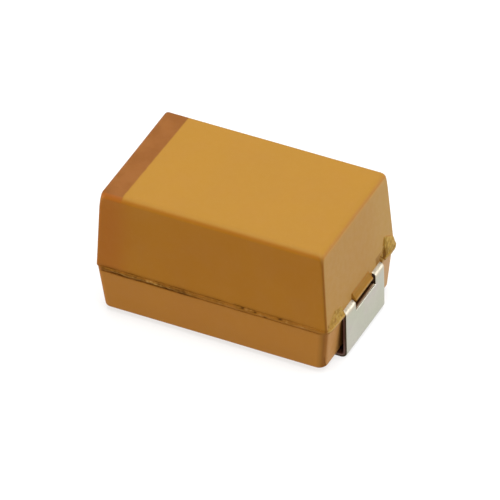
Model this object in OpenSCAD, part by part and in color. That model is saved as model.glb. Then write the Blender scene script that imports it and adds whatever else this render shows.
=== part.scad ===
// Moulded tantalum chip capacitor, case size 7343-43, surface mounted.
// X runs along the length, with the positive (anode) terminal at -X.
// Y runs across the width and Z points up, away from the board.
// The origin lies on the board plane, midway between the two terminals.

/* [Overall size] */
// Length over the outer faces of the two terminals
length = 7.3; // [7.26:0.01:7.5]
// Height from the board plane to the top of the case
height = 4.08; // [3.9:0.01:4.3]

/* [Moulded case] */
// Length of the case over its ends, at the parting plane
case_l = 7.036; // [6.98:0.002:7.04]
// Width of the case over its sides, at the parting plane
case_w = 4.32; // [4.2:0.01:4.5]
// Height of the underside of the case above the board plane
stand_off = 0.09; // [0.05:0.01:0.12]
// How far each end leans in between the parting plane and the top
upper_lean_x = 0.143; // [0.1:0.001:0.18]
// How far each side leans in between the parting plane and the top
upper_lean_y = 0.123; // [0.1:0.001:0.18]
// How far each end leans in between the parting plane and the underside
lower_lean_x = 0.16; // [0.1:0.01:0.2]
// How far each side leans in between the parting plane and the underside
lower_lean_y = 0.10; // [0.06:0.01:0.16]
// Radius of the four top edges
top_r = 0.16; // [0.08:0.01:0.22]
// Radius of the four bottom edges
bottom_r = 0.2; // [0.1:0.01:0.26]
// Radius of the upright corners below the parting plane
lower_corner_r = 0.3; // [0.2:0.01:0.4]

/* [Parting line] */
// Height of the parting plane, which is the upper face of the lead frame
parting_z = 1.605; // [1.58:0.005:1.64]
// How far the parting ridge stands out from the sides
ridge_side = 0.04; // [0.02:0.005:0.06]
// How far the parting ridge stands out from the ends
ridge_end = 0.03; // [0.015:0.005:0.05]
// How far the trimmed ledges beside each terminal stand out from the ends
ledge_end = 0.085; // [0.06:0.005:0.1]
// Width of the tongue of moulding compound that fills each lead window
tongue_w = 1.1; // [0.9:0.01:1.2]

/* [Terminals] */
// Width of both terminals
lead_w = 2.4; // [2.3:0.01:2.5]
// Thickness of the lead frame strip
lead_t = 0.125; // [0.11:0.005:0.13]
// Length of each foot under the case, from the outer face of the terminal
foot_l = 1.3; // [1.1:0.01:1.5]
// Outer radius of the bend between the foot and the upright
foot_bend_r = 0.2; // [0.16:0.01:0.25]
// Width of the window cut across the upper bend
window_w = 1.26; // [1.22:0.01:1.4]
// Height of the lower edge of that window above the board plane
window_z = 1.25; // [1.2:0.01:1.42]
// Inner radius of the bends inside the case
inner_bend_r = 0.06; // [0.04:0.005:0.07]

/* [Sintered anode and its coatings] */
// Length of the sintered tantalum block
anode_l = 4.425; // [4.2:0.005:4.43]
// Width of the sintered tantalum block
anode_w = 3.1; // [2.9:0.01:3.2]
// Height of the sintered tantalum block
anode_h = 2.71; // [2.6:0.01:2.75]
// Radius of the block's long edges
anode_r = 0.12; // [0.08:0.01:0.2]
// Thickness of the manganese dioxide coat
mno2_t = 0.045; // [0.03:0.005:0.06]
// Thickness of the graphite coat
graphite_t = 0.02; // [0.01:0.005:0.03]
// Thickness of the silver paint
silver_t = 0.035; // [0.02:0.005:0.05]
// Thickness of the silver adhesive under the block
adhesive_t = 0.04; // [0.03:0.005:0.05]
// Diameter of the tantalum lead wire
wire_d = 0.4; // [0.3:0.01:0.45]
// Length of wire sunk in the block
wire_sunk = 3.2; // [2:0.1:3.6]
// Outer diameter of the insulating washer
washer_d = 1.1; // [0.9:0.01:1.2]
// Thickness of the insulating washer
washer_t = 0.25; // [0.15:0.01:0.3]

/* [Hidden] */
$fn = 64;

eps = 0.01;
half_l = length / 2;
ax = case_l / 2;                  // case half-length at the parting plane
ay = case_w / 2;                  // case half-width at the parting plane
lead_top = parting_z;
lead_bot = parting_z - lead_t;
top_bend_r = half_l - (ax - 0.003);      // outer radius where the lead leaves the case
bend_o = inner_bend_r + lead_t;          // outer radius of the bends inside the case
window_in = 0.3;                  // how far the window reaches into the case

// Heights and lengths inside the case, from the paddle up and from the riser in
paddle_bot = 0.42;
paddle_top = paddle_bot + lead_t;
riser_out = 2.74;                 // outer face of the cathode riser
riser_in = riser_out - lead_t;
coat_t = mno2_t + graphite_t + silver_t;
block_end = riser_in - adhesive_t - coat_t;      // tantalum face next to the riser
block_face = block_end - anode_l;                // tantalum face with the wire
block_bot = paddle_top + adhesive_t + coat_t;
wire_z = block_bot + anode_h / 2;
groove = 0.03;                    // depth that the wire is pressed into its landing
landing_top = wire_z - wire_d / 2 + groove;
landing_w = 1.0;
riser_a = 3.04;                   // outer face of the anode riser
landing_in = 2.45;
wire_tip = -2.97;
graphite_back = 0.28;             // bare margin behind the wire face
silver_back = 0.42;

// ---- shared shapes ----

// One half of the case seen from the side: straight at the parting plane,
// leaning in, with both far corners rounded. Base on y = 0, height h.
module lean_profile(base, far, h, r) {
    lean = atan((base - far) / h);
    tl = r / tan((90 + lean) / 2);
    polygon([[-base, 0], [base, 0],
             [far + tl * sin(lean), h - tl * cos(lean)], [far - tl, h],
             [-far + tl, h], [-far - tl * sin(lean), h - tl * cos(lean)]]);
    for (s = [-1, 1]) translate([s * (far - tl), h - r]) circle(r);
}

// A half of the case: two side profiles crossed with each other
module case_half(lean_x, lean_y, h, r) {
    intersection() {
        rotate([90, 0, 0]) linear_extrude(height = case_w + 1, center = true)
            lean_profile(ax, ax - lean_x, h, r);
        rotate([90, 0, 90]) linear_extrude(height = case_l + 1, center = true)
            lean_profile(ay, ay - lean_y, h, r);
    }
}

// Rounded rectangle centred on the origin
module round_rect(w, h, r) {
    square([w - 2 * r, h], center = true);
    square([w, h - 2 * r], center = true);
    for (sx = [-1, 1], sy = [-1, 1])
        translate([sx * (w / 2 - r), sy * (h / 2 - r)]) circle(r);
}

// Block with rounded long edges: from x0 to x1, grown by g all round in Y and Z
module block(x0, x1, g) {
    translate([x0, 0, wire_z]) rotate([90, 0, 90])
        linear_extrude(height = x1 - x0)
            round_rect(anode_w + 2 * g, anode_h + 2 * g, anode_r + g);
}

// Quarter of a bent strip, in the quadrant given by the signs qx and qz
module bend(cx, cz, ro, ri, qx, qz) {
    translate([cx, cz]) intersection() {
        difference() { circle(ro); circle(ri); }
        translate([qx > 0 ? 0 : -1, qz > 0 ? 0 : -1]) square(1);
    }
}

module bar(x0, x1, z0, z1) { translate([x0, z0]) square([x1 - x0, z1 - z0]); }

// Strip profile shared by both terminals: foot, upright, upper bend and the
// flat run into the case, ending at x = flat_end
module outer_profile(flat_end) {
    cx = half_l - foot_bend_r;
    bar(half_l - foot_l, cx, 0, lead_t);
    bend(cx, foot_bend_r, foot_bend_r, foot_bend_r - lead_t, 1, -1);
    bar(half_l - lead_t, half_l, foot_bend_r, lead_top - top_bend_r);
    bend(half_l - top_bend_r, lead_top - top_bend_r, top_bend_r, top_bend_r - lead_t, 1, 1);
    bar(flat_end, half_l - top_bend_r, lead_bot, lead_top);
}

// Turn an X-Z profile into a strip of width w
module strip(w) { rotate([90, 0, 0]) linear_extrude(height = w, center = true) children(); }

// Opening across the upper bend, which the moulding compound keys into
module window() {
    translate([ax - window_in, -window_w / 2, window_z])
        cube([1, window_w, 1]);
}

module cathode_strip() {
    flat_end = riser_out + inner_bend_r;
    difference() {
        strip(lead_w) union() {
            outer_profile(flat_end);
            bend(flat_end, lead_bot - inner_bend_r, bend_o, inner_bend_r, -1, 1);
            bar(riser_in, riser_out, paddle_top + inner_bend_r, lead_bot - inner_bend_r);
            bend(riser_in - inner_bend_r, paddle_top + inner_bend_r, bend_o, inner_bend_r, 1, -1);
            bar(0.6, riser_in - inner_bend_r, paddle_bot, paddle_top);
        }
        window();
    }
}

// The anode strip is drawn at +X and turned round to -X where it is used
module anode_strip() {
    flat_end = riser_a + inner_bend_r;
    difference() {
        union() {
            strip(lead_w) outer_profile(flat_end);
            strip(landing_w) union() {
                bend(flat_end, lead_top + inner_bend_r, bend_o, inner_bend_r, -1, -1);
                bar(riser_a - lead_t, riser_a, lead_top + inner_bend_r, landing_top - bend_o);
                bend(riser_a - lead_t - inner_bend_r, landing_top - bend_o, bend_o, inner_bend_r, 1, 1);
                bar(landing_in, riser_a - lead_t - inner_bend_r, landing_top - lead_t, landing_top);
            }
        }
        window();
    }
}

module wire_solid() {
    translate([wire_tip, 0, wire_z]) rotate([0, 90, 0])
        cylinder(d = wire_d, h = block_face + wire_sunk - wire_tip);
}

module washer_disc() {
    translate([block_face - washer_t, 0, wire_z]) rotate([0, 90, 0])
        cylinder(d = washer_d, h = washer_t);
}

// Adhesive between the silvered block and the paddle and riser of the cathode
module adhesive_solid() {
    difference() {
        translate([1.0, -1.0, paddle_top])
            cube([riser_in - 1.0, 2.0, 0.75]);
        block(block_face, block_end + coat_t, coat_t);
        cathode_strip();
    }
}

// Sharp corner trimmed to a round upright along the leaning corner line
module corner_trim(sx, sy) {
    h = parting_z - stand_off;
    d = [lower_lean_x, lower_lean_y, h] / norm([lower_lean_x, lower_lean_y, h]);
    mirror([sx < 0 ? 1 : 0, 0, 0]) mirror([0, sy < 0 ? 1 : 0, 0])
        translate([ax - lower_lean_x, ay - lower_lean_y, stand_off])
            rotate([asin(-d[1]), atan2(d[0], d[2]), 0])
                translate([0, 0, -0.5]) linear_extrude(height = h + 1)
                    difference() {
                        translate([-lower_corner_r, -lower_corner_r])
                            square(lower_corner_r + 0.5);
                        translate([-lower_corner_r, -lower_corner_r])
                            circle(lower_corner_r + 0.004);
                    }
}

// Tongue in the lead window: flat below, sloping up to the end face above
module tongue(s) {
    mirror([s < 0 ? 1 : 0, 0, 0]) strip(tongue_w)
        polygon([[ax - 0.2, lead_bot], [half_l - 0.03, lead_bot], [half_l, lead_bot + 0.03],
                 [half_l - 0.004, lead_bot + 0.08], [half_l - 0.05, lead_top + 0.03],
                 [ax - 0.012, lead_top + 0.19], [ax - 0.2, lead_top + 0.19]]);
}

// ---- the pieces ----

module epoxy_case() {
    color([0.72, 0.5, 0.2]) difference() {
        union() {
            translate([0, 0, parting_z])
                case_half(upper_lean_x, upper_lean_y, height - parting_z, top_r);
            difference() {
                translate([0, 0, parting_z]) mirror([0, 0, 1])
                    case_half(lower_lean_x, lower_lean_y, parting_z - stand_off, bottom_r);
                for (sx = [-1, 1], sy = [-1, 1]) corner_trim(sx, sy);
            }
            // ridge left where the two mould halves close on the lead frame
            translate([0, 0, lead_bot]) linear_extrude(height = lead_t)
                round_rect(2 * (ax + ridge_end), 2 * (ay + ridge_side), 0.14);
            // trimmed ledges beside the terminals
            for (s = [-1, 1], t = [-1, 1])
                translate([s > 0 ? ax - 0.2 : -ax - ledge_end,
                           t > 0 ? lead_w / 2 : -lead_w / 2 - 0.78, lead_bot + 0.01])
                    cube([ledge_end + 0.2, 0.78, lead_t - 0.02]);
            for (s = [-1, 1]) tongue(s);
        }
        // shallow pockets that the feet are folded into
        for (s = [-1, 1])
            translate([s > 0 ? half_l - foot_l - 0.05 : -half_l - 0.5, -lead_w / 2 - 0.05, -0.2])
                cube([foot_l + 0.55, lead_w + 0.1, 0.2 + lead_t + 0.015]);
        // space taken by everything that the case is moulded round
        cathode_strip();
        rotate([0, 0, 180]) anode_strip();
        wire_solid();
        washer_disc();
        block(block_face - mno2_t, block_end + mno2_t, mno2_t);
        block(block_face + graphite_back, block_end + mno2_t + graphite_t, mno2_t + graphite_t);
        block(block_face + silver_back, block_end + coat_t, coat_t);
        adhesive_solid();
    }
}

module anode_terminal() {
    color([0.75, 0.75, 0.7]) difference() {
        rotate([0, 0, 180]) anode_strip();
        wire_solid();
    }
}

module cathode_terminal() {
    color([0.75, 0.75, 0.7]) cathode_strip();
}

module tantalum_anode() {
    color([0.36, 0.36, 0.38]) difference() {
        block(block_face, block_end, 0);
        wire_solid();
    }
}

module anode_wire() {
    color([0.5, 0.5, 0.53]) wire_solid();
}

module insulating_washer() {
    color([0.93, 0.93, 0.9]) difference() {
        washer_disc();
        wire_solid();
    }
}

module manganese_dioxide_layer() {
    color([0.12, 0.11, 0.11]) difference() {
        block(block_face - mno2_t, block_end + mno2_t, mno2_t);
        block(block_face, block_end, 0);
        washer_disc();
    }
}

module graphite_layer() {
    color([0.2, 0.2, 0.21]) difference() {
        block(block_face + graphite_back, block_end + mno2_t + graphite_t, mno2_t + graphite_t);
        block(block_face - mno2_t, block_end + mno2_t, mno2_t);
    }
}

module silver_layer() {
    color([0.78, 0.78, 0.76]) difference() {
        block(block_face + silver_back, block_end + coat_t, coat_t);
        block(block_face - mno2_t, block_end + mno2_t + graphite_t, mno2_t + graphite_t);
    }
}

module silver_adhesive() {
    color([0.68, 0.68, 0.68]) adhesive_solid();
}

epoxy_case();
anode_terminal();
cathode_terminal();
tantalum_anode();
anode_wire();
insulating_washer();
manganese_dioxide_layer();
graphite_layer();
silver_layer();
silver_adhesive();
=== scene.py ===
import math

import bpy
import bmesh
import numpy as np
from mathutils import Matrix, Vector


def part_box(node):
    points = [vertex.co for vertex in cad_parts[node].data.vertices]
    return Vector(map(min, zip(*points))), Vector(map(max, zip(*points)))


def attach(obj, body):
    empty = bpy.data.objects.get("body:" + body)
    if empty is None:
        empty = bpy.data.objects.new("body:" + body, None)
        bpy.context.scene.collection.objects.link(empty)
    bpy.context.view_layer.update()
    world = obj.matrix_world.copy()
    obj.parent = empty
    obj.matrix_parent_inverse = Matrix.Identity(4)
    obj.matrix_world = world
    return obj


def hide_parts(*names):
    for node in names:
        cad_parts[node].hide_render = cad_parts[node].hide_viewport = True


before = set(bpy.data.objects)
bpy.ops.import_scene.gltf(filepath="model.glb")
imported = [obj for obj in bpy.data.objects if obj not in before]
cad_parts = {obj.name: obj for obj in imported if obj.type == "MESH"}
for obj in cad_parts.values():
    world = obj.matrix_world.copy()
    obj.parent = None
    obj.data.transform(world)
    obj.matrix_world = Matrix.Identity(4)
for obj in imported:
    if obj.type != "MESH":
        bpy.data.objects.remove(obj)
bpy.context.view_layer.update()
MM = 0.001

# ---------------------------------------------------------------- sizes, in mm
lo_c, hi_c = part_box("epoxy_case")
lo_t, hi_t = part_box("cathode_terminal")
HALF_L = hi_t.x / MM            # outer face of the terminal upright
TOP = hi_c.z / MM               # top of the case
BOT = lo_c.z / MM               # underside of the case
ZP = hi_t.z / MM                # parting plane, upper face of the lead strip
T = 0.125                       # strip thickness
LEAD_LO = ZP - T
AX = 3.518                      # case half-length at the parting plane
AY = hi_c.y / MM - 0.04         # case half-width at the parting plane
LEAN_UX, LEAN_UY = 0.143, 0.123
LEAN_LX, LEAN_LY = 0.16, 0.10
R_TOP, R_BOT = 0.16, 0.13


# ---------------------------------------------------------------- seeded noise
def lattice(ix, iy, iz, seed):
    h = (ix.astype(np.int64) * 73856093) ^ (iy.astype(np.int64) * 19349663) ^ (iz.astype(np.int64) * 83492791) ^ (seed * 2654435761)
    h &= 0xFFFFFFFF
    h = ((h ^ (h >> 15)) * 2246822519) & 0xFFFFFFFF
    h = ((h ^ (h >> 13)) * 3266489917) & 0xFFFFFFFF
    return ((h ^ (h >> 16)) & 0xFFFFFF) / float(0xFFFFFF) * 2 - 1


def vnoise(p, scale, seed):
    """Smooth value noise from -1 to 1 at points p (n, 3), in cells of the given size."""
    q = np.asarray(p, float) / scale
    i = np.floor(q)
    f = q - i
    f = f * f * (3 - 2 * f)
    out = 0
    for dx in (0, 1):
        for dy in (0, 1):
            for dz in (0, 1):
                w = ((f[:, 0] if dx else 1 - f[:, 0]) * (f[:, 1] if dy else 1 - f[:, 1]) * (f[:, 2] if dz else 1 - f[:, 2]))
                out = out + w * lattice(i[:, 0] + dx, i[:, 1] + dy, i[:, 2] + dz, seed)
    return out


def fbm(p, scale, seed, octaves=3, gain=0.5):
    a, s, tot, out = 1.0, scale, 0.0, 0.0
    for k in range(octaves):
        out = out + a * vnoise(p, s, seed + 31 * k)
        tot += a
        a *= gain
        s *= 0.5
    return out / tot


def sstep(x, a, b):
    t = np.clip((x - a) / (b - a), 0, 1)
    return t * t * (3 - 2 * t)


def between(x, a, b, e):
    """1 inside a..b, falling to 0 over e outside."""
    return sstep(x, a - e, a) * (1 - sstep(x, b, b + e))


def bump1(x, c, w):
    return np.exp(-((x - c) / w) ** 2)


# ---------------------------------------------------------------- materials
class Nodes:
    """Short helpers to build a material's node tree."""

    def __init__(self, name):
        self.mat = bpy.data.materials.new(name)
        self.mat.use_nodes = True
        self.t = self.mat.node_tree
        self.t.nodes.clear()
        self.out = self.t.nodes.new("ShaderNodeOutputMaterial")
        self.bsdf = self.t.nodes.new("ShaderNodeBsdfPrincipled")
        self.t.links.new(self.bsdf.outputs[0], self.out.inputs[0])

    def new(self, kind, **props):
        n = self.t.nodes.new(kind)
        for k, v in props.items():
            setattr(n, k, v)
        return n

    def link(self, a, b):
        self.t.links.new(a, b)

    def coord(self):
        if not hasattr(self, "_c"):
            self._c = self.new("ShaderNodeTexCoord")
        return self._c.outputs["Object"]

    def noise(self, scale, detail=4.0, rough=0.5, vec=None, dist=0.0):
        n = self.new("ShaderNodeTexNoise")
        n.inputs["Scale"].default_value = scale
        n.inputs["Detail"].default_value = detail
        n.inputs["Roughness"].default_value = rough
        n.inputs["Distortion"].default_value = dist
        self.link(vec if vec is not None else self.coord(), n.inputs["Vector"])
        return n.outputs["Fac"]

    def ramp(self, fac, stops):
        n = self.new("ShaderNodeValToRGB")
        el = n.color_ramp.elements
        while len(el) > 1:
            el.remove(el[0])
        el[0].position, el[0].color = stops[0][0], (*stops[0][1], 1)
        for p, c in stops[1:]:
            e = el.new(p)
            e.color = (*c, 1)
        self.link(fac, n.inputs[0])
        return n.outputs["Color"]

    def range(self, v, a, b, c=0.0, d=1.0, kind="SMOOTHSTEP"):
        n = self.new("ShaderNodeMapRange", interpolation_type=kind)
        n.inputs["From Min"].default_value = a
        n.inputs["From Max"].default_value = b
        n.inputs["To Min"].default_value = c
        n.inputs["To Max"].default_value = d
        self.link(v, n.inputs["Value"])
        return n.outputs["Result"]

    def math(self, op, a, b=None, clamp=False):
        n = self.new("ShaderNodeMath", operation=op, use_clamp=clamp)
        for i, v in enumerate((a, b)):
            if v is None:
                continue
            if isinstance(v, (int, float)):
                n.inputs[i].default_value = v
            else:
                self.link(v, n.inputs[i])
        return n.outputs[0]

    def mix(self, fac, a, b, kind="MIX"):
        n = self.new("ShaderNodeMix", data_type="RGBA", blend_type=kind)
        for i, v in ((0, fac), (6, a), (7, b)):
            if isinstance(v, (int, float)):
                n.inputs[i].default_value = v
            elif isinstance(v, tuple):
                n.inputs[i].default_value = (*v, 1)
            else:
                self.link(v, n.inputs[i])
        return n.outputs[2]

    def attr(self, name):
        n = self.new("ShaderNodeAttribute", attribute_name=name, attribute_type="GEOMETRY")
        return n.outputs["Fac"]

    def axes(self):
        n = self.new("ShaderNodeSeparateXYZ")
        self.link(self.coord(), n.inputs[0])
        return n.outputs[0], n.outputs[1], n.outputs[2]

    def normals(self):
        n = self.new("ShaderNodeSeparateXYZ")
        self.coord()
        self.link(self._c.outputs["Normal"], n.inputs[0])
        return n.outputs[0], n.outputs[1], n.outputs[2]

    def bump(self, height, distance, strength=1.0, normal=None):
        n = self.new("ShaderNodeBump")
        n.inputs["Strength"].default_value = strength
        n.inputs["Distance"].default_value = distance
        self.link(height, n.inputs["Height"])
        if normal is not None:
            self.link(normal, n.inputs["Normal"])
        return n.outputs["Normal"]

    def set(self, **values):
        names = {"color": "Base Color", "rough": "Roughness", "metal": "Metallic", "normal": "Normal", "spec": "Specular IOR Level",
                 "sheen": "Sheen Weight", "ior": "IOR"}
        for k, v in values.items():
            s = self.bsdf.inputs[names[k]]
            if isinstance(v, (int, float)):
                s.default_value = v
            elif isinstance(v, tuple):
                s.default_value = (*v, 1)
            else:
                self.link(v, s)
        return self.mat


def epoxy():
    m = Nodes("moulding_epoxy")
    x, y, z = m.axes()
    nx, ny, nz = m.normals()
    end = m.range(m.math("ABSOLUTE", nx), 0.82, 0.98)
    top = m.range(nz, 0.62, 0.97)
    side = m.range(m.math("ABSOLUTE", ny), 0.75, 0.97)
    low = m.range(z, 0.00149, 0.00140, 0.0, 1.0)
    broad = m.noise(420.0, 3.0, 0.55)
    mid = m.noise(1300.0, 3.0, 0.6)
    grain = m.noise(26000.0, 2.0, 0.6)
    fleck = m.noise(9000.0, 3.0, 0.65)
    # painted light and shade: the walls, the top, the ends and the rounded edges between them get lit and shaded
    # copies of one resin colour by the way each faces, the edges darkest
    col = m.mix(m.range(z, TOP * MM - 0.0006, TOP * MM - 0.0001), (0.250, 0.084, 0.003), (0.272, 0.100, 0.0070))
    # painted light on the top edge that faces +X
    far_edge_light = m.math("MULTIPLY", m.range(nx, 0.15, 0.45), m.range(z, TOP * MM - 0.00030, TOP * MM - 0.00012))
    col = m.mix(far_edge_light, col, (0.285, 0.122, 0.0160))
    col = m.mix(side, col, (0.302, 0.1180, 0.0020))
    # the walls are redder near the positive end
    red = m.math("MULTIPLY", m.range(x, -0.0022, -0.0031, 0.0, 1.0), side)
    col = m.mix(red, col, (0.290, 0.094, 0.0030))
    # painted floor bounce: the lower walls are lighter
    col = m.mix(m.math("MULTIPLY", low, side), col, (0.340, 0.138, 0.0130))
    # painted light: the top is the lightest face
    col = m.mix(top, col, (0.312, 0.155, 0.0190))
    # painted sheen: the ends are paler than the walls, and paler still towards +Y
    end_up_sheen = m.mix(m.range(y, 0.0002, 0.0019), (0.325, 0.171, 0.0370), (0.342, 0.194, 0.0480))
    end_low_sheen = m.mix(m.range(y, 0.0010, 0.0015), (0.378, 0.178, 0.047), (0.400, 0.225, 0.090))
    col = m.mix(end, col, m.mix(low, end_up_sheen, end_low_sheen))
    col = m.mix(m.range(broad, 0.35, 0.65, 0.0, 0.10), col, (0.40, 0.185, 0.012))
    col = m.mix(m.range(mid, 0.40, 0.70, 0.0, 0.08), col, (0.30, 0.130, 0.040))
    col = m.mix(m.range(fleck, 0.55, 0.75, 0.0, 0.05), col, (0.46, 0.26, 0.06))
    col = m.mix(m.range(grain, 0.30, 0.45, 0.05, 0.0), col, (0.20, 0.085, 0.010))
    # the positive end's stripe across the top, with a slightly uneven edge
    edge = m.noise(3500.0, 3.0, 0.6)
    xe = m.math("ADD", x, m.math("MULTIPLY", m.math("SUBTRACT", edge, 0.5), 0.000035))
    xe = m.math("ADD", xe, m.math("MULTIPLY", y, -0.018))
    stripe = m.range(xe, -0.002692, -0.002642, 1.0, 0.0)
    stripe = m.math("MULTIPLY", stripe, m.range(z, TOP * MM - 0.000125, TOP * MM - 0.000050, 0.0, 1.0))
    s_col = m.mix(m.range(m.noise(1500.0, 4.0, 0.6), 0.35, 0.65), (0.192, 0.065, 0.009), (0.218, 0.078, 0.014))
    col = m.mix(stripe, col, s_col)
    # the bare resin shows through where the stripe runs over the edge
    bare = m.math("MULTIPLY", m.range(y, -0.001900, -0.001965), m.range(z, TOP * MM - 0.000170, TOP * MM - 0.000120))
    bare = m.math("MULTIPLY", bare, m.range(x, -0.002660, -0.002740))
    col = m.mix(m.math("MULTIPLY", bare, 0.45), col, (0.330, 0.084, 0.0020))
    # broken flash, painted highlights on edges and lumps, the tongue, and painted shade in crevices
    rough = m.attr("rough")
    fl = m.ramp(m.noise(11000.0, 3.0, 0.6), [(0.32, (0.19, 0.100, 0.006)), (0.50, (0.28, 0.160, 0.016)), (0.70, (0.38, 0.235, 0.042))])
    col = m.mix(m.range(rough, 0.15, 0.9, 0.0, 0.9), col, fl)
    col = m.mix(m.math("MULTIPLY", m.attr("tongue"), 0.95), col, m.mix(m.range(mid, 0.35, 0.65), (0.186, 0.082, 0.0), (0.216, 0.096, 0.0002)))
    # painted highlight on lumps, the ledge's lip and the tongue's front edge
    col = m.mix(m.math("MULTIPLY", m.attr("painted_highlight"), 0.75), col, (0.42, 0.25, 0.070))
    # painted shade: crevices, gaps and the wall behind the terminals are darkened
    shade_paint = m.attr("painted_shade")
    col = m.mix(m.range(shade_paint, 0.0, 0.6, 0.0, 0.85, "LINEAR"), col, (0.135, 0.046, 0.0005))
    col = m.mix(m.range(shade_paint, 0.5, 1.0, 0.0, 0.95, "LINEAR"), col, (0.066, 0.024, 0.0))
    r = m.range(m.noise(5000.0, 3.0, 0.6), 0.3, 0.7, 0.48, 0.58)
    r = m.math("ADD", r, m.range(shade_paint, 0.1, 0.6, 0.0, 0.35, "LINEAR"), clamp=True)
    h1 = m.noise(16000.0, 3.0, 0.6)
    n1 = m.bump(h1, 0.0000022, 0.4)
    n2 = m.bump(m.noise(1800.0, 2.0, 0.5), 0.000003, 0.3, n1)
    n3 = m.bump(m.math("MULTIPLY", m.noise(9000.0, 2.0, 0.5), rough), 0.000010, 0.45, n2)
    return m.set(color=col, rough=r, normal=n3, spec=0.14)


def tin():
    m = Nodes("tin_plate")
    broad = m.noise(750.0, 3.0, 0.6)
    hue = m.noise(1100.0, 2.0, 0.5, dist=0.6)
    fine_n = m.noise(24000.0, 3.0, 0.6)
    x, y, z = m.axes()
    col = m.mix(m.range(broad, 0.35, 0.65), (0.415, 0.420, 0.328), (0.458, 0.444, 0.374))
    col = m.mix(m.range(hue, 0.52, 0.66, 0.0, 0.8), col, (0.452, 0.408, 0.375))
    # painted highlight: the plating is brighter on the upper bend
    col = m.mix(m.range(z, 0.00136, 0.00150), col, (0.485, 0.435, 0.340))
    # painted highlight on the rounded outer edges left by the press tool
    rim_highlight = m.math("MULTIPLY", m.range(m.attr("depth"), 0.90, 0.955), m.range(m.attr("depth"), 0.999, 0.97))
    col = m.mix(rim_highlight, col, (0.600, 0.560, 0.470))
    col = m.mix(m.range(m.attr("depth"), 0.945, 0.890), col, (0.070, 0.052, 0.026))
    # painted shade on the inner edges
    col = m.mix(m.range(m.attr("depth"), 0.50, 0.30), col, (0.100, 0.050, 0.036))
    col = m.mix(m.range(fine_n, 0.60, 0.75, 0.0, 0.14), col, (0.34, 0.33, 0.29))
    r = m.range(m.noise(3000.0, 3.0, 0.6), 0.3, 0.7, 0.36, 0.48)
    r = m.math("ADD", r, m.range(z, 0.00136, 0.00150, 0.0, 0.12))
    n = m.bump(fine_n, 0.0000015, 0.5, m.bump(m.noise(2500.0, 2.0, 0.5), 0.000005, 0.35))
    return m.set(color=col, metal=1.0, rough=r, normal=n)


def cut_edge():
    m = Nodes("sheared_edge")
    sc = m.new("ShaderNodeMapping")
    sc.inputs["Scale"].default_value = (1.0, 1.0, 0.12)
    m.link(m.coord(), sc.inputs["Vector"])
    streak = m.noise(22000.0, 3.0, 0.6, vec=sc.outputs[0])
    k = m.math("ADD", m.attr("depth"), m.math("MULTIPLY", m.math("SUBTRACT", streak, 0.5), 0.22))
    # the cut edge's own dark colour, with a lighter mauve band across its middle as a painted highlight
    col = m.ramp(k, [(0.03, (0.080, 0.014, 0.008)), (0.20, (0.150, 0.072, 0.060)), (0.42, (0.135, 0.074, 0.058)), (0.58, (0.050, 0.028, 0.012)), (0.85, (0.055, 0.036, 0.014))])
    # painted reflection: the sill of the lead window faces up and runs from brown inside to cream outside
    nx, ny, nz = m.normals()
    sill_reflection = m.ramp(k, [(0.05, (0.17, 0.075, 0.022)), (0.32, (0.28, 0.155, 0.075)), (0.56, (0.50, 0.38, 0.25)), (0.82, (0.60, 0.54, 0.42))])
    col = m.mix(m.range(nz, 0.45, 0.85), col, sill_reflection)
    n = m.bump(streak, 0.000004, 0.6)
    return m.set(color=col, metal=0.6, rough=0.45, normal=n, spec=0.3)


# painted shade: the strip's hidden inner face is a dark wine colour standing for the shade in the gap behind it
def shaded_strip_back():
    m = Nodes("strip_back_painted_shade")
    col = m.mix(m.range(m.noise(2500.0, 4.0, 0.6), 0.35, 0.65), (0.105, 0.030, 0.016), (0.140, 0.060, 0.040))
    n = m.bump(m.noise(16000.0, 3.0, 0.6), 0.000003, 0.6)
    return m.set(color=col, metal=0.6, rough=0.6, normal=n, spec=0.3)


def simple(name, a, b, metal, r0, r1, scale, bump_scale, bump_dist, extra=None):
    m = Nodes(name)
    col = m.mix(m.range(m.noise(scale, 4.0, 0.6), 0.35, 0.65), a, b)
    if extra:
        col = m.mix(m.range(m.noise(extra[0], 2.0, 0.6), extra[1], extra[1] + 0.08, 0.0, extra[3]), col, extra[2])
    r = m.range(m.noise(scale * 2.3, 3.0, 0.6), 0.3, 0.7, r0, r1)
    n = m.bump(m.noise(bump_scale, 3.0, 0.65), bump_dist, 0.8)
    return m.set(color=col, metal=metal, rough=r, normal=n)


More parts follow.
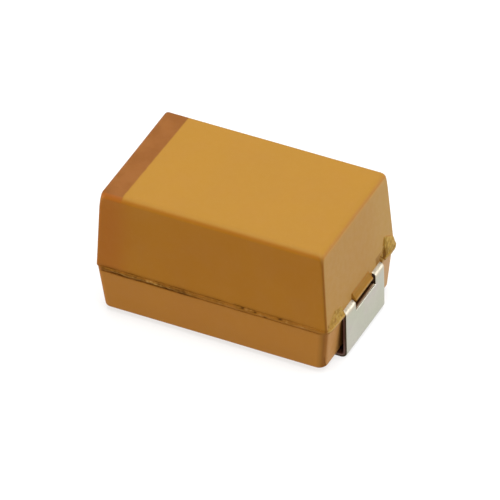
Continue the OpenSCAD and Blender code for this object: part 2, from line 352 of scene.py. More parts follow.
EPOXY, TIN, SHEAR, SHADED_INSIDE = epoxy(), tin(), cut_edge(), shaded_strip_back()
INNER = {
    "tantalum_anode": simple("sintered_tantalum", (0.075, 0.075, 0.082), (0.12, 0.12, 0.128), 0.7, 0.6, 0.8, 3000.0, 16000.0, 0.000012,
                             (30000.0, 0.60, (0.02, 0.02, 0.022), 0.8)),
    "anode_wire": simple("tantalum_wire", (0.30, 0.30, 0.33), (0.40, 0.40, 0.43), 1.0, 0.25, 0.4, 2500.0, 9000.0, 0.000003),
    "insulating_washer": simple("white_insulator", (0.80, 0.80, 0.77), (0.88, 0.88, 0.85), 0.0, 0.35, 0.5, 1200.0, 7000.0, 0.000004),
    "manganese_dioxide_layer": simple("manganese_dioxide", (0.012, 0.011, 0.010), (0.030, 0.027, 0.025), 0.1, 0.7, 0.9, 5000.0, 18000.0, 0.000012,
                                      (26000.0, 0.62, (0.08, 0.075, 0.07), 0.6)),
    "graphite_layer": simple("graphite", (0.030, 0.030, 0.032), (0.050, 0.050, 0.054), 0.35, 0.45, 0.6, 2500.0, 12000.0, 0.000006),
    "silver_layer": simple("silver_paint", (0.56, 0.56, 0.54), (0.66, 0.66, 0.64), 0.85, 0.45, 0.6, 2500.0, 15000.0, 0.000006,
                           (30000.0, 0.60, (0.78, 0.78, 0.76), 0.5)),
    "silver_adhesive": simple("silver_paste", (0.42, 0.42, 0.41), (0.52, 0.52, 0.50), 0.75, 0.5, 0.7, 2000.0, 9000.0, 0.000012),
}

# ---------------------------------------------------------------- the case, as one loft
# Columns run round the case, rings run from the middle of the top to the middle of the underside.
def fine(lo, hi, step, extra):
    n = int(round((hi - lo) / step))
    xs = list(np.linspace(lo, hi, n + 1))
    for e in extra:
        xs = [x for x in xs if abs(x - e) > step * 0.45]
        xs += [e - 0.004, e + 0.004]
    return np.array(sorted(xs))


END_COLS = fine(-1.7, 1.7, 0.04, [-1.205, -0.565, 0.5, 1.205, 1.46])
for _y in np.arange(1.23, 1.63, 0.02):
    if np.abs(END_COLS - _y).min() > 0.007:
        END_COLS = np.array(sorted([*END_COLS, _y]))
BACK_COLS = fine(-1.7, 1.7, 0.04, [-1.205, -0.53, 0.53, 1.205])
SIDE_COLS = fine(-3.0, 3.0, 0.036, [])
N_TR, N_ARC = 8, 8


def outline(hx, hy, radii):
    """Points (n, 2) round a rounded rectangle, outward normals (n, 2), anticlockwise from the -Y end of the +X face.
    radii are those of the corners at +X -Y, +X +Y, -X +Y and -X -Y."""
    ra, rb, rc, rd = radii
    P, N = [], []

    def side(fixed, s0, s1, place, nrm):
        a = np.linspace(-s0, fixed[0], N_TR + 1)[:-1]
        b = np.linspace(fixed[-1], s1, N_TR + 1)[1:]
        for t in np.concatenate([a, fixed, b]):
            P.append(place(t))
            N.append(nrm)

    def arc(cx, cy, r, a0):
        for k in range(1, N_ARC):
            a = math.radians(a0 + 90.0 * k / N_ARC)
            P.append((cx + r * math.cos(a), cy + r * math.sin(a)))
            N.append((math.cos(a), math.sin(a)))

    side(END_COLS, hy - ra, hy - rb, lambda t: (hx, t), (1, 0))
    arc(hx - rb, hy - rb, rb, 0)
    side(SIDE_COLS, hx - rb, hx - rc, lambda t: (-t, hy), (0, 1))
    arc(-hx + rc, hy - rc, rc, 90)
    side(-BACK_COLS[::-1], hy - rc, hy - rd, lambda t: (-hx, -t), (-1, 0))
    arc(-hx + rd, -hy + rd, rd, 180)
    side(SIDE_COLS, hx - rd, hx - ra, lambda t: (t, -hy), (0, -1))
    arc(hx - ra, -hy + ra, ra, 270)
    return np.array(P), np.array(N)


def halves(z):
    if z >= ZP:
        k = (z - ZP) / (TOP - ZP)
        return AX - LEAN_UX * k, AY - LEAN_UY * k
    k = (ZP - z) / (ZP - BOT)
    return AX - LEAN_LX * k, AY - LEAN_LY * k


def corner_r(z, sharp, low=0.30, top=0.13):
    """Corner radius at height z; sharp corners keep a small radius down to the lower edge of the parting band."""
    up = 0.075 + (top - 0.075) * float(sstep(z, 3.66, TOP))
    if sharp:
        mid = low + (0.12 - low) * float(sstep(z, 1.452, 1.474))
        return mid + (up - mid) * float(sstep(z, 1.598, 1.622))
    return low + (up - low) * float(sstep(z, 1.545, 1.612))


def rings():
    """(z, inset, corner radius, scale) for every ring from the top centre down."""
    out = []
    hx, hy = halves(TOP)
    for s in (0.03, 0.2, 0.4, 0.6, 0.78, 0.9, 0.96, 0.99):
        out.append((TOP, R_TOP, 0.03, s))
    for k in range(0, 9):
        a = math.radians(90 - 90.0 * k / 8)
        out.append((TOP - R_TOP + R_TOP * math.sin(a), R_TOP * (1 - math.cos(a)), None, 1.0))
    zs = [TOP - R_TOP - 0.02, TOP - R_TOP - 0.12]
    zs += list(np.linspace(3.6, 2.28, 9))
    zs += list(np.linspace(2.22, 1.70, 27))
    zs += list(np.linspace(1.688, 1.402, 34))
    zs += list(np.linspace(1.38, 1.10, 8))
    zs += [1.0, 0.85, 0.7, 0.55, 0.42, BOT + R_BOT + 0.02]
    out += [(z, 0.0, None, 1.0) for z in zs]
    for k in range(0, 9):
        a = math.radians(90.0 * k / 8)
        out.append((BOT + R_BOT - R_BOT * math.sin(a), R_BOT * (1 - math.cos(a)), None, 1.0))
    for s in (0.99, 0.96, 0.85, 0.65, 0.4, 0.2, 0.03):
        out.append((BOT, R_BOT, 0.08, s))
    return out


def tongue_out(z):
    """How far out the tongue in the lead window reaches at height z."""
    zz = [1.4, 1.508, 1.524, 1.555, 1.594, 1.622, 1.655, 1.71, 1.765, 1.83, 2.5]
    xx = [0.0, 0.0, HALF_L - 0.040, HALF_L - 0.006, HALF_L - 0.004, HALF_L - 0.024, HALF_L - 0.058, HALF_L - 0.098, HALF_L - 0.123, 0.0, 0.0]
    return np.interp(z, zz, xx)


def soft_cap(d, knee, cap):
    """Leave d alone up to knee, then ease it towards cap."""
    return np.where(d > knee, knee + (cap - knee) * (1 - np.exp(-(d - knee) / (cap - knee))), d)


# bumps and pits of the broken flash on the long front side: (x, z, half-width, height)
LUMPS = ((-1.91, 1.575, 0.045, 0.050), (-1.80, 1.590, 0.040, 0.045), (-1.66, 1.560, 0.055, 0.060),
         (-1.50, 1.555, 0.040, 0.030), (-2.35, 1.570, 0.050, 0.030), (-1.25, 1.560, 0.050, 0.030),
         (-2.62, 1.545, 0.160, 0.022), (-0.62, 1.560, 0.060, 0.022), (0.28, 1.555, 0.050, 0.018),
         (1.10, 1.600, 0.045, 0.030), (1.24, 1.610, 0.030, 0.022), (1.52, 1.560, 0.032, 0.032), (2.32, 1.565, 0.034, 0.032),
         (2.78, 1.560, 0.060, 0.020))
PITS = ((-1.73, 1.490, 0.085, 0.060), (-1.60, 1.480, 0.060, 0.050), (-2.95, 1.505, 0.160, 0.050),
        (-2.70, 1.470, 0.160, 0.035), (-2.10, 1.500, 0.090, 0.030), (-1.38, 1.500, 0.050, 0.035),
        (-1.15, 1.490, 0.060, 0.040), (-0.85, 1.490, 0.100, 0.030),
        (0.98, 1.595, 0.050, 0.022), (1.36, 1.575, 0.045, 0.024), (1.66, 1.500, 0.050, 0.026), (2.12, 1.585, 0.080, 0.016))


def displace(P, N, z):
    """Outward push for the columns of one ring, and what its surface is: rough flash, painted shade in crevices,
    painted highlight on edges and lumps, tongue.
    """
    n = len(P)
    x, y = P[:, 0], P[:, 1]
    p3 = np.column_stack([x, y, np.full(n, z)])
    d = np.zeros(n)
    out = {k: np.zeros(n) for k in ("rough", "painted_shade", "painted_highlight", "tongue")}
    front = (N[:, 1] < -0.7)
    back = (N[:, 1] > 0.7)
    right = (N[:, 0] > 0.7)
    left = (N[:, 0] < -0.7)
    ends = right | left
    if BOT + 0.03 < z < LEAD_LO:
        # painted shade on the wall behind a terminal
        shade = between(y, -1.16, 1.16, 0.10) * sstep(z, 0.2, 0.3)
        out["painted_shade"] = np.where(ends, 0.48 * shade, 0.0)
    if not 1.36 < z < 2.32:
        return d, out
    rough, shade_paint, painted_highlight, tong_m = out["rough"], out["painted_shade"], out["painted_highlight"], out["tongue"]
    big = fbm(p3 * [1, 1, 0.0], 0.30, 11, 3)
    med = fbm(p3, 0.10, 23, 3)
    tiny = fbm(p3, 0.045, 37, 2)
    # how broken the flash is along each side: the front side is broken for most of its -X half
    broken = np.where(front, sstep(x, -3.45, -3.25) * (1 - sstep(x, -0.95, 0.05)), 0.0)
    broken = np.maximum(broken, np.where(back, np.clip(0.30 + 0.6 * big, 0, 1) * between(x, -2.9, 3.0, 0.4), 0.0))
    broken = np.maximum(broken, np.where(left, 0.35 + 0.3 * big, 0.0))
    broken = np.maximum(broken, np.where(front, between(x, -0.6, 2.4, 0.5) * np.clip(0.16 + 0.5 * big, 0, 0.40), 0.0))
    broken = np.clip(broken, 0, 1)
    clean = sstep(x, -3.48, -3.20)                  # the moulding is clean at its -X corners
    # ridge between the mould halves
    amp = 0.024 + 0.006 * big + broken * (0.012 + 0.026 * big + 0.016 * med)
    amp = np.clip(amp, 0.004, 0.05)
    top_edge = ZP - 0.004 + 0.006 * big + broken * 0.012 * med
    low_edge = LEAD_LO + 0.006 + 0.010 * big + broken * 0.022 * med
    ridge = sstep(z, low_edge - 0.006, low_edge + 0.010) * (1 - sstep(z, top_edge - 0.012, top_edge + 0.008))
    on_long = (front | back)
    d += np.where(on_long, amp * ridge * clean, 0.0)
    d += np.where(right, 0.018 * ridge, 0.0) + np.where(left, 0.006 * ridge * between(y, -1.9, 1.9, 0.1), 0.0)
    rough[:] = np.maximum(rough, np.where(on_long, ridge * broken * 0.5, ridge * broken * 0.6))
    # fine grooves above and below it
    fade = (1 - 0.75 * sstep(x, 2.2, 3.2)) * (0.25 + 0.75 * clean)
    g1 = bump1(z, ZP + 0.018, 0.016) * (0.70 + 0.30 * big) * fade
    g1b = bump1(z, ZP + 0.030, 0.060) * (0.28 + 0.20 * big + 0.25 * broken) * fade
    g2 = bump1(z, LEAD_LO - 0.010, 0.016 + 0.012 * broken) * (0.85 + 0.15 * big + broken * (0.5 + 0.6 * med)) * clean
    d += np.where(on_long, -0.014 * g1 - 0.026 * g2, 0.0)
    blot = fbm(p3 * [1, 1, 0.3], 0.16, 71, 2)
    body = ridge * (0.16 + 0.05 * big + broken * (0.26 + 0.40 * med + 0.25 * blot))
    # painted shade in the grooves, under the ridge and across the broken ridge
    shade_paint[:] = np.maximum(shade_paint, np.where(on_long, np.clip(0.34 * g1 + 0.50 * g2 + broken * (0.10 + 1.10 * blot) * g2 + g1b * 0.5 + body, 0, 0.80), 0))
    # lumps and chips on the broken stretch, with painted highlight on the lumps and painted shade in the pits
    if 1.40 < z < 1.66:
        for side, flip, lo_x, hi_x in ((front, 1, -9, 9), (back, -1, -9, 9)):
            k = 1.0 if flip > 0 else 0.6
            xs = x * flip + (0.0 if flip > 0 else 0.7)
            for cx, cz, w, h in LUMPS:
                b = bump1(xs, cx, w) * bump1(z, cz, 0.028)
                d += np.where(side, k * h * b, 0)
                lump_highlight = np.where(side, k * b * min(1.0, h * 20), 0)
                painted_highlight[:] = np.maximum(painted_highlight, lump_highlight)
                shade_paint[:] = shade_paint * (1 - lump_highlight)
            for cx, cz, w, h in PITS:
                b = bump1(xs, cx, w) * bump1(z, cz, 0.030)
                d -= np.where(side, k * h * b, 0)
                shade_paint[:] = np.maximum(shade_paint, np.where(side, k * 1.1 * b, 0))
    d = np.where(on_long, soft_cap(d, 0.020, 0.036), d)
    # the two ends: trimmed ledges that slope up to the end face, and the tongue in the lead window
    for face, s in ((right, 1), (left, -1)):
        if not face.any():
            continue
        yy = y if s > 0 else -y * 0.97 + 0.02
        keep = 1.0 if s > 0 else between(y, -1.76, 1.76, 0.14)
        seed = 0.0 if s > 0 else 7.7
        e_big = big if s > 0 else fbm(p3 * [1, 1, 0.0] + [seed, 0, 0], 0.30, 12, 3)
        # ledge beside one edge of the terminal
        q = np.interp(yy, [-2.12, -2.05, -1.90, -1.65, -1.40, -1.205], [0.0, 0.030, 0.066, 0.082, 0.088, 0.095])
        q = q * between(yy, -2.12, -1.205, 0.004) + 0.008 * med * between(yy, -2.05, -1.21, 0.01)
        zt = np.interp(yy, [-2.12, -2.02, -1.86, -1.60, -1.42, -1.2], [1.64, 1.72, 1.87, 1.98, 1.88, 1.84]) + 0.03 * e_big
        ramp = np.where(z > 1.588, np.clip((zt - z) / np.maximum(zt - 1.588, 1e-3), 0, 1) ** 1.25, 1.0)
        led = np.clip(q, 0, 0.12) * ramp * sstep(z, LEAD_LO - 0.004, LEAD_LO + 0.008)
        led = led * keep
        zone = keep * between(yy, -2.09, -1.21, 0.03) * (1 - sstep(z, zt - 0.05, zt + 0.01)) * sstep(z, 1.50, 1.56)
        led += zone * (0.014 * med + 0.004 * tiny) * sstep(z, 1.56, 1.62)
        flake = zone * np.clip(0.80 + 0.5 * e_big, 0, 1)
        # painted highlight along the ledge's lip
        lip_highlight = keep * between(yy, -2.08, -1.23, 0.04) * bump1(z, 1.560, 0.028)
        # ledge beside the other edge: a chunk stands on it, and a piece is missing between the two
        q2 = np.interp(yy, [1.205, 1.40, 1.52, 1.58, 1.75, 2.0, 2.10, 2.17], [0.022, 0.044, 0.058, 0.066, 0.088, 0.084, 0.062, 0.0])
        q2 = q2 * between(yy, 1.205, 2.17, 0.004) + 0.006 * med * between(yy, 1.25, 2.1, 0.01)
        zt2 = np.interp(yy, [1.2, 1.38, 1.48, 1.56, 2.00, 2.13], [1.74, 1.78, 2.06, 2.22, 1.95, 1.80]) + 0.010 * e_big
        up = np.clip((zt2 - z) / 0.30, 0, 1)
        ramp2 = np.where(z > 1.60, np.where(up < 0.18, up / 0.18 * 0.45, 0.45 + 0.55 * (up - 0.18) / 0.82), 1.0)
        led2 = np.clip(q2, 0, 0.12) * np.clip(ramp2, 0, 1) * sstep(z, LEAD_LO - 0.004, LEAD_LO + 0.008)
        zone2 = between(yy, 1.22, 2.12, 0.02) * (1 - sstep(z, zt2 - 0.04, zt2 + 0.01)) * sstep(z, 1.50, 1.56)
        led2 = led2 * keep
        zone2 = zone2 * keep
        led2 += zone2 * (0.007 * med + 0.002 * tiny) * sstep(z, 1.56, 1.62)
        wpit = np.interp(z, [1.56, 1.60, 1.90, 1.98], [0.02, 0.100, 0.014, 0.008])
        cpit = np.interp(z, [1.56, 1.90], [1.43, 1.475])
        pit = between(yy, cpit - wpit, cpit + wpit * 0.6, 0.010) * between(z, 1.585, 1.94, 0.012)
        pit = pit * keep
        led2 -= 0.012 * pit
        total = led + led2
        end_shade = 0.66 * pit
        # painted shade along the edge of the chunk, running up from the missing piece
        end_shade = np.maximum(end_shade, 0.50 * keep * bump1(yy, np.interp(z, [1.80, 2.14], [1.455, 1.530]), 0.014) * between(z, 1.80, 2.12, 0.02))
        # more painted shade in the creases beside the ledges, under the lead and in the broken flash above the far
        # ledge
        end_shade = np.maximum(end_shade, 0.80 * bump1(yy, 1.245, 0.024) * between(z, 1.46, 1.66, 0.02))
        end_shade = np.maximum(end_shade, 0.80 * keep * bump1(yy, np.interp(z, [1.46, 1.74], [1.48, 1.25]), 0.024) * between(z, 1.46, 1.74, 0.015))
        end_shade = np.maximum(end_shade, 0.5 * bump1(z, LEAD_LO - 0.02, 0.018) * between(np.abs(yy), 1.21, 2.1, 0.02))
        end_shade = np.maximum(end_shade, 0.55 * bump1(yy, -2.04, 0.022) * bump1(z, 1.71, 0.05))
        end_shade = np.maximum(end_shade, 0.24 * zone * sstep(med, 0.05, 0.45))
        end_shade = np.maximum(end_shade, 0.42 * keep * between(yy, 0.98, 1.56, 0.05) * between(z, 1.64, 1.84, 0.04) * (0.7 + 0.6 * blot))
        # the tongue
        t0, t1 = (-0.565, 0.50) if s > 0 else (-0.53, 0.53)
        hx, _ = halves(z)
        tt = np.maximum(tongue_out(z) - hx, 0.0) if 1.4 < z < 1.9 else 0.0
        m = between(y, t0, t1, 0.004)
        tong = m * (tt + (0.004 * med + 0.003 * tiny) * (1 if 1.49 < z < 1.80 else 0))
        total = np.where(m > 0.5, 0, total) + tong
        # painted shade in the gaps beside and under the tongue
        beside = (bump1(y, t0 - 0.018, 0.016) + bump1(y, t1 + 0.05, 0.05)) * between(z, 1.36, 1.62, 0.02)
        end_shade = np.maximum(end_shade, 0.9 * np.clip(beside, 0, 1))
        end_shade = np.maximum(end_shade, 0.62 * between(y, t0 - 0.03, t1 + 0.15, 0.01) * between(z, 1.20, 1.520, 0.015))
        d += np.where(face, soft_cap(total, 0.09, HALF_L - 0.004 - hx if z > 1.4 else 0.12) * (m < 0.5) + total * (m >= 0.5), 0)
        rough[:] = np.maximum(rough, np.where(face, np.maximum(flake, zone2 * 0.9), 0))
        shade_paint[:] = np.maximum(shade_paint, np.where(face, end_shade, 0))
        # painted highlight on the ledge's lip and the tongue's front edge
        painted_highlight[:] = np.maximum(painted_highlight, np.where(face, np.maximum(0.9 * lip_highlight, 0.70 * m * bump1(z, 1.588, 0.018)), 0))
        tong_m[:] = np.maximum(tong_m, np.where(face, m * sstep(z, 1.51, 1.52) * (1 - sstep(z, 1.70, 1.84)), 0))
    for k in out:
        out[k] = np.clip(out[k], 0, 1)
    return d, out


def loft_case():
    verts, faces = [], []
    attrs = {k: [] for k in ("rough", "painted_shade", "painted_highlight", "tongue")}
    ring_start = []
    n = None
    for z, inset, rc, scale in rings():
        zz = min(max(z, BOT), TOP)
        hx, hy = halves(zz)
        if rc is not None:
            radii = (rc,) * 4
        else:
            radii = [max(r - 0.72 * inset, 0.03) for r in (corner_r(zz, True, 0.25), corner_r(zz, True, 0.17), corner_r(zz, False), corner_r(zz, False, 0.15, 0.21))]
        P, N = outline(hx - inset, hy - inset, radii)
        n = len(P)
        if inset and z > 2:
            # the top edges towards -Y and +X are rounder than the two far ones
            P[:, 0] -= inset * (0.35 * sstep(P[:, 0], hx - 0.7, hx - 0.2) + 0.30 * sstep(-P[:, 0], hx - 0.7, hx - 0.2))
            P[:, 1] += inset * (0.35 * sstep(-P[:, 1], hy - 0.7, hy - 0.2) + 0.22 * sstep(P[:, 1], hy - 0.7, hy - 0.2))
        if scale < 1:
            P = P * scale
            d, at = np.zeros(n), {k: np.zeros(n) for k in attrs}
        else:
            d, at = displace(P, N, z)
        p3 = np.column_stack([P, np.full(n, z)])
        # a mould's faces are very slightly uneven
        wav = 0.004 * vnoise(p3, 1.7, 5)
        if scale < 1:
            sink = (0.010 if z > 1 else 0.006) * (1 - scale)
            p3[:, 2] += (-sink if z > 1 else sink) + 0.3 * wav * (1 - scale)
        else:
            p3[:, :2] += N * (d + wav)[:, None]
        p3[:, 0] = np.clip(p3[:, 0], -HALF_L + 0.002, HALF_L - 0.002)
        p3[:, 1] = np.clip(p3[:, 1], -AY - 0.038, AY + 0.038)
        ring_start.append(len(verts))
        verts.extend(p3.tolist())
        for k in attrs:
            attrs[k].extend(at[k].tolist())
    m = len(ring_start)
    for k in range(m - 1):
        a, b = ring_start[k], ring_start[k + 1]
        for i in range(n):
            j = (i + 1) % n
            faces.append((a + i, b + i, b + j, a + j))
    # close the two small middles with fans
    for start, up in ((ring_start[0], True), (ring_start[-1], False)):
        c = len(verts)
        verts.append(np.array(verts[start:start + n]).mean(0).tolist())
        for k in attrs:
            attrs[k].append(0.0)
        for i in range(n):
            j = (i + 1) % n
            faces.append((start + i, start + j, c) if up else (start + j, start + i, c))
    return verts, faces, attrs


def mesh_object(name, verts, faces, smooth=True):
    me = bpy.data.meshes.new(name)
    me.from_pydata([(v[0] * MM, v[1] * MM, v[2] * MM) for v in verts], [], faces)
    me.validate()
    bm = bmesh.new()
    bm.from_mesh(me)
    bmesh.ops.recalc_face_normals(bm, faces=bm.faces)
    bm.to_mesh(me)
    bm.free()
    ob = bpy.data.objects.new(name, me)
    bpy.context.scene.collection.objects.link(ob)
    for p in me.polygons:
        p.use_smooth = smooth
    return ob


def apply_modifiers(ob):
    dg = bpy.context.evaluated_depsgraph_get()
    me = bpy.data.meshes.new_from_object(ob.evaluated_get(dg), preserve_all_data_layers=True, depsgraph=dg)
    ob.modifiers.clear()
    ob.data = me


def box_object(name, lo, hi):
    v = [(x, y, z) for x in (lo[0], hi[0]) for y in (lo[1], hi[1]) for z in (lo[2], hi[2])]
    f = [(0, 1, 3, 2), (4, 6, 7, 5), (0, 4, 5, 1), (2, 3, 7, 6), (0, 2, 6, 4), (1, 5, 7, 3)]
    return mesh_object(name, v, f, smooth=False)


def cut(ob, *cutters):
    for c in cutters:
        m = ob.modifiers.new("cut", "BOOLEAN")
        m.operation = "DIFFERENCE"
        m.solver = "EXACT"
        m.object = c
        apply_modifiers(ob)
    for c in cutters:
        me = c.data
        bpy.data.objects.remove(c)
        bpy.data.meshes.remove(me)


V, F, ATTRS = loft_case()
case = mesh_object("moulded_case", V, F)
case.data.materials.append(EPOXY)
for label, values in ATTRS.items():
    a = case.data.attributes.new(label, "FLOAT", "POINT")
    a.data.foreach_set("value", np.array(values, np.float32))
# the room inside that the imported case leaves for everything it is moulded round
room = box_object("room", (-3.35, -2.0, 0.2), (3.35, 2.0, 4.0))
packed = bpy.data.objects.new("packed_copy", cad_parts["epoxy_case"].data.copy())
bpy.context.scene.collection.objects.link(packed)
cut(room, packed)
cut(case, room)
# slots in the end walls where the strips come out on either side of their windows
for k, (x0, x1, y0, y1) in enumerate(((3.3, 3.53, -1.2, -0.595), (3.3, 3.53, 0.665, 1.2), (-3.53, -3.3, -1.2, -0.63), (-3.53, -3.3, 0.63, 1.2))):
    cut(case, box_object("slot_%d" % k, (x0, y0, LEAD_LO), (x1, y1, ZP)))
# shallow pockets for the two feet
cut(case,
    box_object("pocket_p", (HALF_L - 1.35, -1.25, -0.2), (HALF_L + 0.3, 1.25, T + 0.015)),
    box_object("pocket_n", (-HALF_L - 0.3, -1.25, -0.2), (-HALF_L + 1.35, 1.25, T + 0.015)))


# ---------------------------------------------------------------- the terminals, as bent strip
def arc_pts(cx, cz, r, a0, a1, k):
    return [(cx + r * math.cos(math.radians(a)), cz + r * math.sin(math.radians(a))) for a in np.linspace(a0, a1, k + 1)]


def line_pts(x0, z0, x1, z1, step):
    k = max(1, int(round(math.hypot(x1 - x0, z1 - z0) / step)))
    return [(x0 + (x1 - x0) * i / k, z0 + (z1 - z0) * i / k) for i in range(k + 1)]


def join(*parts):
    out = []
    for p in parts:
        for q in p:
            if not out or math.hypot(q[0] - out[-1][0], q[1] - out[-1][1]) > 1e-5:
                out.append(q)
    return out


H = T / 2
RB = 0.2                      # outer radius, foot bend
RT = HALF_L - (AX - 0.003)    # outer radius, upper bend
WIN_Z = 1.25


def outside_path(flat_end):
    return join(
        line_pts(HALF_L - 1.3, H, HALF_L - RB, H, 0.08),
        arc_pts(HALF_L - RB, RB, RB - H, -90, 0, 10),
        line_pts(HALF_L - H, RB, HALF_L - H, WIN_Z, 0.08),
        line_pts(HALF_L - H, WIN_Z, HALF_L - H, ZP - RT, 0.03),
        arc_pts(HALF_L - RT, ZP - RT, RT - H, 0, 90, 10),
        line_pts(HALF_L - RT, ZP - H, AX - 0.3, ZP - H, 0.06),
        line_pts(AX - 0.3, ZP - H, flat_end, ZP - H, 0.08))


def strip_object(name, path, cols, keep, outer=1):
    """A bent sheet: cell (i, j) lies between path points i, i+1 and columns j, j+1, where keep(i, j) says so.
    outer is 1 where the sheet's outside lies to the right of the path, and -1 where it lies to the left."""
    path = np.array(path)
    n, m = len(path), len(cols)
    tan = np.gradient(path, axis=0)
    tan /= np.linalg.norm(tan, axis=1)[:, None]
    nrm = np.column_stack([tan[:, 1], -tan[:, 0]]) * outer
    verts, index = [], {}

    def vert(i, j, s):
        key = (i, j, s)
        if key not in index:
            index[key] = len(verts)
            x, z = path[i] + nrm[i] * H * s
            verts.append((x, cols[j], z))
        return index[key]

    cells = {(i, j) for i in range(n - 1) for j in range(m - 1) if keep(i, j)}
    faces, walls, inner = [], [], []
    for i, j in sorted(cells):
        faces.append((vert(i, j, 1), vert(i + 1, j, 1), vert(i + 1, j + 1, 1), vert(i, j + 1, 1)))
        inner.append(len(faces))
        faces.append((vert(i, j, -1), vert(i, j + 1, -1), vert(i + 1, j + 1, -1), vert(i + 1, j, -1)))
        for (di, dj), (a, b) in (((-1, 0), ((i, j + 1), (i, j))), ((1, 0), ((i + 1, j), (i + 1, j + 1))),
                                 ((0, -1), ((i, j), (i + 1, j))), ((0, 1), ((i + 1, j + 1), (i, j + 1)))):
            if (i + di, j + dj) not in cells:
                walls.append(len(faces))
                faces.append((vert(*a, 1), vert(*a, -1), vert(*b, -1), vert(*b, 1)))
    ob = mesh_object(name, verts, faces)
    for mt in (TIN, SHEAR, SHADED_INSIDE):
        ob.data.materials.append(mt)
    for w in walls:
        ob.data.polygons[w].material_index = 1
    for w in inner:
        ob.data.polygons[w].material_index = 2
    depth = [0.0] * len(verts)
    for (i, j, s), v in index.items():
        depth[v] = 1.0 if s > 0 else 0.0
    a = ob.data.attributes.new("depth", "FLOAT", "POINT")
    a.data.foreach_set("value", np.array(depth, np.float32))
    return ob


def columns(*marks):
    out = []
    for a, b in zip(marks[:-1], marks[1:]):
        k = max(1, int(round((b - a) / 0.1)))
        out += list(np.linspace(a, b, k + 1)[:-1])
    return np.array(out + [marks[-1]])


def round_edges(ob, width, segments=3):
    m = ob.modifiers.new("round", "BEVEL")
    m.width = width * MM
    m.segments = segments
    m.limit_method = "ANGLE"
    m.angle_limit = math.radians(50)
    m.material = 0
    apply_modifiers(ob)


RI = 0.06
BM = RI + H
path_n = join(
    outside_path(2.74 + RI),
    arc_pts(2.74 + RI, LEAD_LO - RI, BM, 90, 180, 8),
    line_pts(2.74 - H, LEAD_LO - RI, 2.74 - H, 0.545 + RI, 0.1),
    arc_pts(2.74 - T - RI, 0.545 + RI, BM, 0, -90, 8),
    line_pts(2.74 - T - RI, 0.545 - H, 0.6, 0.545 - H, 0.1))
WIN0, WIN1 = -0.595, 0.665
cols_n = columns(-1.2, WIN0, WIN1, 1.2)
mids_n = [((path_n[i][0] + path_n[i + 1][0]) / 2, (path_n[i][1] + path_n[i + 1][1]) / 2) for i in range(len(path_n) - 1)]


def in_window(p):
    return p[0] > AX - 0.3 and p[1] > WIN_Z


neg = strip_object("negative_terminal", path_n, cols_n,
                   lambda i, j: not (in_window(mids_n[i]) and WIN0 - 1e-6 < cols_n[j] < WIN1 - 1e-6))
round_edges(neg, 0.02)

path_p = join(
    outside_path(3.04 + RI),
    arc_pts(3.04 + RI, ZP + RI, BM, -90, -180, 8),
    line_pts(3.04 - H, ZP + RI, 3.04 - H, 1.87 - RI - T, 0.1),
    arc_pts(3.04 - T - RI, 1.87 - RI - T, BM, 0, 90, 8),
    line_pts(3.04 - T - RI, 1.87 - H, 2.45, 1.87 - H, 0.1))
cols_p = columns(-1.2, -0.63, -0.5, 0.5, 0.63, 1.2)
mids_p = [((path_p[i][0] + path_p[i + 1][0]) / 2, (path_p[i][1] + path_p[i + 1][1]) / 2) for i in range(len(path_p) - 1)]


def keep_p(i, j):
    c = (cols_p[j] + cols_p[j + 1]) / 2
    if in_window(mids_p[i]) and abs(c) < 0.63:
        return False
    if mids_p[i][0] < 3.04 + RI and mids_p[i][1] > 1.0 and abs(c) > 0.5:
        return False
    return True


pos = strip_object("positive_terminal", [(-x, z) for x, z in path_p], cols_p, keep_p, -1)
round_edges(pos, 0.02)


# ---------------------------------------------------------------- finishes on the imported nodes, and what stands for what
for node_name, mt in INNER.items():
    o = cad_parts[node_name]
    o.data.materials.clear()
    o.data.materials.append(mt)
for node_name in ("epoxy_case", "anode_terminal", "cathode_terminal"):
    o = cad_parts[node_name]
    o.data.materials.clear()
    o.data.materials.append(EPOXY if node_name == "epoxy_case" else TIN)

for piece, node_name, slot_name in ((case, "epoxy_case", "moulding_epoxy"), (neg, "cathode_terminal", "tinned_strip"), (pos, "anode_terminal", "tinned_strip")):
    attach(piece, "root")
    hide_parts(node_name)

# ---------------------------------------------------------------- floor, light, camera
floor = box_object("floor", (-400, -400, -2.0), (400, 400, 0.0))
fm = Nodes("pale_floor")
fm.set(color=fm.mix(fm.range(fm.noise(30.0, 2.0, 0.5), 0.3, 0.7), (0.25, 0.25, 0.25), (0.27, 0.27, 0.27)), rough=0.9)
fm.bsdf.inputs["Specular IOR Level"].default_value = 0.0
fm.bsdf.inputs["Emission Color"].default_value = (1.0, 1.0, 1.0, 1)
fm.bsdf.inputs["Emission Strength"].default_value = 0.72      # a softly glowing table
floor.data.materials.append(fm.mat)

scene = bpy.context.scene
scene.view_settings.view_transform = "Standard"
scene.view_settings.look = "None"
world = bpy.data.worlds.new("studio")
scene.world = world
world.use_nodes = True
bg = world.node_tree.nodes["Background"]
bg.inputs[0].default_value = (1.0, 1.0, 1.0, 1)
bg.inputs[1].default_value = 0.03


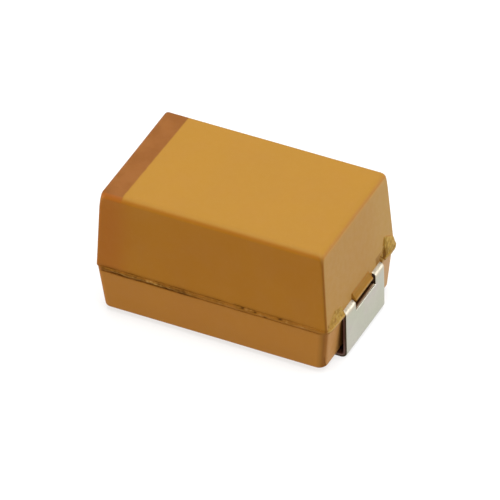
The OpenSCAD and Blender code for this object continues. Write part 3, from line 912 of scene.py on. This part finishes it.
def softbox(name, az, el, size, power, color=(1, 1, 1), dist=0.40):
    """A square area light seen from the part at azimuth az (0 is -Y, 90 is +X) and elevation el."""
    a, e = math.radians(az), math.radians(el)
    where = Vector((math.sin(a) * math.cos(e), -math.cos(a) * math.cos(e), math.sin(e))) * dist
    d = bpy.data.lights.new(name, "AREA")
    d.shape = "RECTANGLE"
    d.size, d.size_y = size, size
    d.energy = power
    d.color = color
    o = bpy.data.objects.new(name, d)
    scene.collection.objects.link(o)
    o.location = where
    o.rotation_mode = "QUATERNION"
    o.rotation_quaternion = (where - Vector((0, 0, 0.002))).to_track_quat("Z", "Y")
    return o


softbox("light_overhead", 0, 90, 0.22, 1.66)
softbox("light_left_front", 300, 14, 0.17, 1.18, (1.0, 0.87, 0.66))
softbox("light_right", 120, 14, 0.17, 0.80, (0.97, 1.0, 1.06))
softbox("light_back", 150, 14, 0.17, 0.26)
softbox("light_back_left", 225, 14, 0.17, 0.12)
softbox("light_card_behind", 207, 40, 0.30, 0.34)
softbox("light_high_right", 60, 64, 0.22, 0.35)
softbox("light_high_back", 120, 64, 0.22, 0.38)

# camera placed as the part is seen: azimuth 27.2, elevation 39, long lens
AZ, EL, ROLL = (math.radians(v) for v in (27.205, 38.985, -1.698))
DIST, SCALE, SX, SY = 197.8, 36.445, -4.966, -8.227
back = Vector((math.sin(AZ) * math.cos(EL), -math.cos(AZ) * math.cos(EL), math.sin(EL)))
right = Vector((math.cos(AZ), math.sin(AZ), 0))
up = back.cross(right)
r2 = math.cos(ROLL) * right + math.sin(ROLL) * up
u2 = -math.sin(ROLL) * right + math.cos(ROLL) * up
cd = bpy.data.cameras.new("camera")
cam = bpy.data.objects.new("camera", cd)
scene.collection.objects.link(cam)
cd.sensor_width = 36.0
cd.lens = SCALE * DIST / 500.0 * 36.0
cd.clip_start, cd.clip_end = 0.01, 3.0
from mathutils import Matrix
loc = (Vector((0, 0, 2.0)) + back * DIST - r2 * (SX / SCALE) + u2 * (SY / SCALE)) * MM
cam.matrix_world = Matrix.Translation(loc) @ Matrix((r2, u2, back)).transposed().to_4x4()
scene.camera = cam
